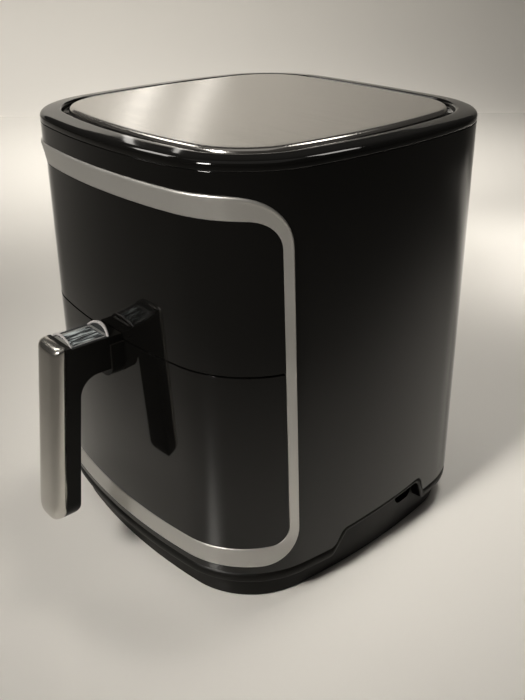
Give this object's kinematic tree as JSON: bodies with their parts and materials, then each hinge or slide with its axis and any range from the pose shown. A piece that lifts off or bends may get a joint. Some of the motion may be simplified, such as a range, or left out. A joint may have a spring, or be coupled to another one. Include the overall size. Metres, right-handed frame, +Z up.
{
  "type": "air fryer",
  "caption": "Countertop basket air fryer with a rounded tapering casing, framed pull-out drawer, leaning handle with guarded release button, fan, heater and flat top plate.",
  "frame": {"origin": "centre of the bounding box in plan, on the table under the feet", "axes": "+Z up, front with the handle towards -Y, +X to the viewer's right when facing the front"},
  "size_m": [0.28, 0.3433, 0.3283],
  "materials": {
    "gloss_black": "high gloss",
    "satin_black": "satin",
    "trim_silver": "satin",
    "plate_steel": "brushed",
    "cover_steel": "satin",
    "button_chrome": "polished",
    "clear_plastic": "clear",
    "nonstick": "satin non-stick coat",
    "sheet_steel": "plain sheet",
    "fan_metal": "plain",
    "element_metal": "heat-tinted",
    "screw_steel": "zinc plated",
    "soft_rubber": "matte",
    "board_green": "solder mask",
    "light_plastic": "plain"
  },
  "bodies": {
    "housing": {"outer_housing": "gloss_black", "top_ring": "gloss_black", "top_plate": "plate_steel", "base_skirt": "satin_black", "casing_lip": "satin_black", "recess_edging": "satin_black", "base_plate": "satin_black", "chamber_posts": "satin_black", "feet": "soft_rubber", "base_screws": "screw_steel", "trim_frame": "trim_silver", "front_panel": "gloss_black", "front_bulkhead": "satin_black", "inner_chamber": "sheet_steel", "drawer_rails": "sheet_steel", "fan_grille": "sheet_steel", "heating_element": "element_metal", "lead_seals": "light_plastic", "element_clips": "sheet_steel", "motor": "sheet_steel", "motor_bridge": "sheet_steel", "motor_screws": "screw_steel", "control_board": "board_green", "board_standoffs": "light_plastic", "power_board": "board_green", "power_standoffs": "light_plastic", "temperature_probe": "screw_steel", "thermal_fuse": "light_plastic", "drawer_switch": "light_plastic", "rear_vent": "satin_black", "cord_gland": "soft_rubber"},
    "drawer": {"drawer_front": "gloss_black", "drawer_backing": "satin_black", "handle_bracket": "sheet_steel", "pan": "nonstick", "basket": "nonstick", "basket_floor": "nonstick", "basket_bumpers": "soft_rubber", "handle_core": "satin_black", "handle_cover": "cover_steel", "handle_collar": "satin_black", "handle_screws": "screw_steel", "button_spring": "screw_steel"},
    "button": {"release_button": "button_chrome", "latch_hook": "sheet_steel"},
    "guard": {"button_guard": "clear_plastic"},
    "rotor": {"motor_shaft": "screw_steel", "convection_fan": "fan_metal", "cooling_fan": "light_plastic", "fan_nut": "screw_steel"}
  },
  "joints": [
    {"name": "drawer_slide", "type": "slide", "parent": "housing", "child": "drawer", "axis": [0, -1, 0], "range_m": [0, 0.19]},
    {"name": "button_press", "type": "slide", "parent": "drawer", "child": "button", "axis": [0, 0, -1], "range_m": [0, 0.003], "stiffness_N_per_m": 400, "deforming": ["button_spring"]},
    {"name": "guard_slide", "type": "slide", "parent": "drawer", "child": "guard", "axis": [0, 1, 0], "range_m": [0, 0.006]},
    {"name": "fan_spin", "type": "hinge", "parent": "housing", "child": "rotor", "pos_m": [0, 0.02905, 0.22], "axis": [0, 0, 1], "continuous": true}
  ]
}
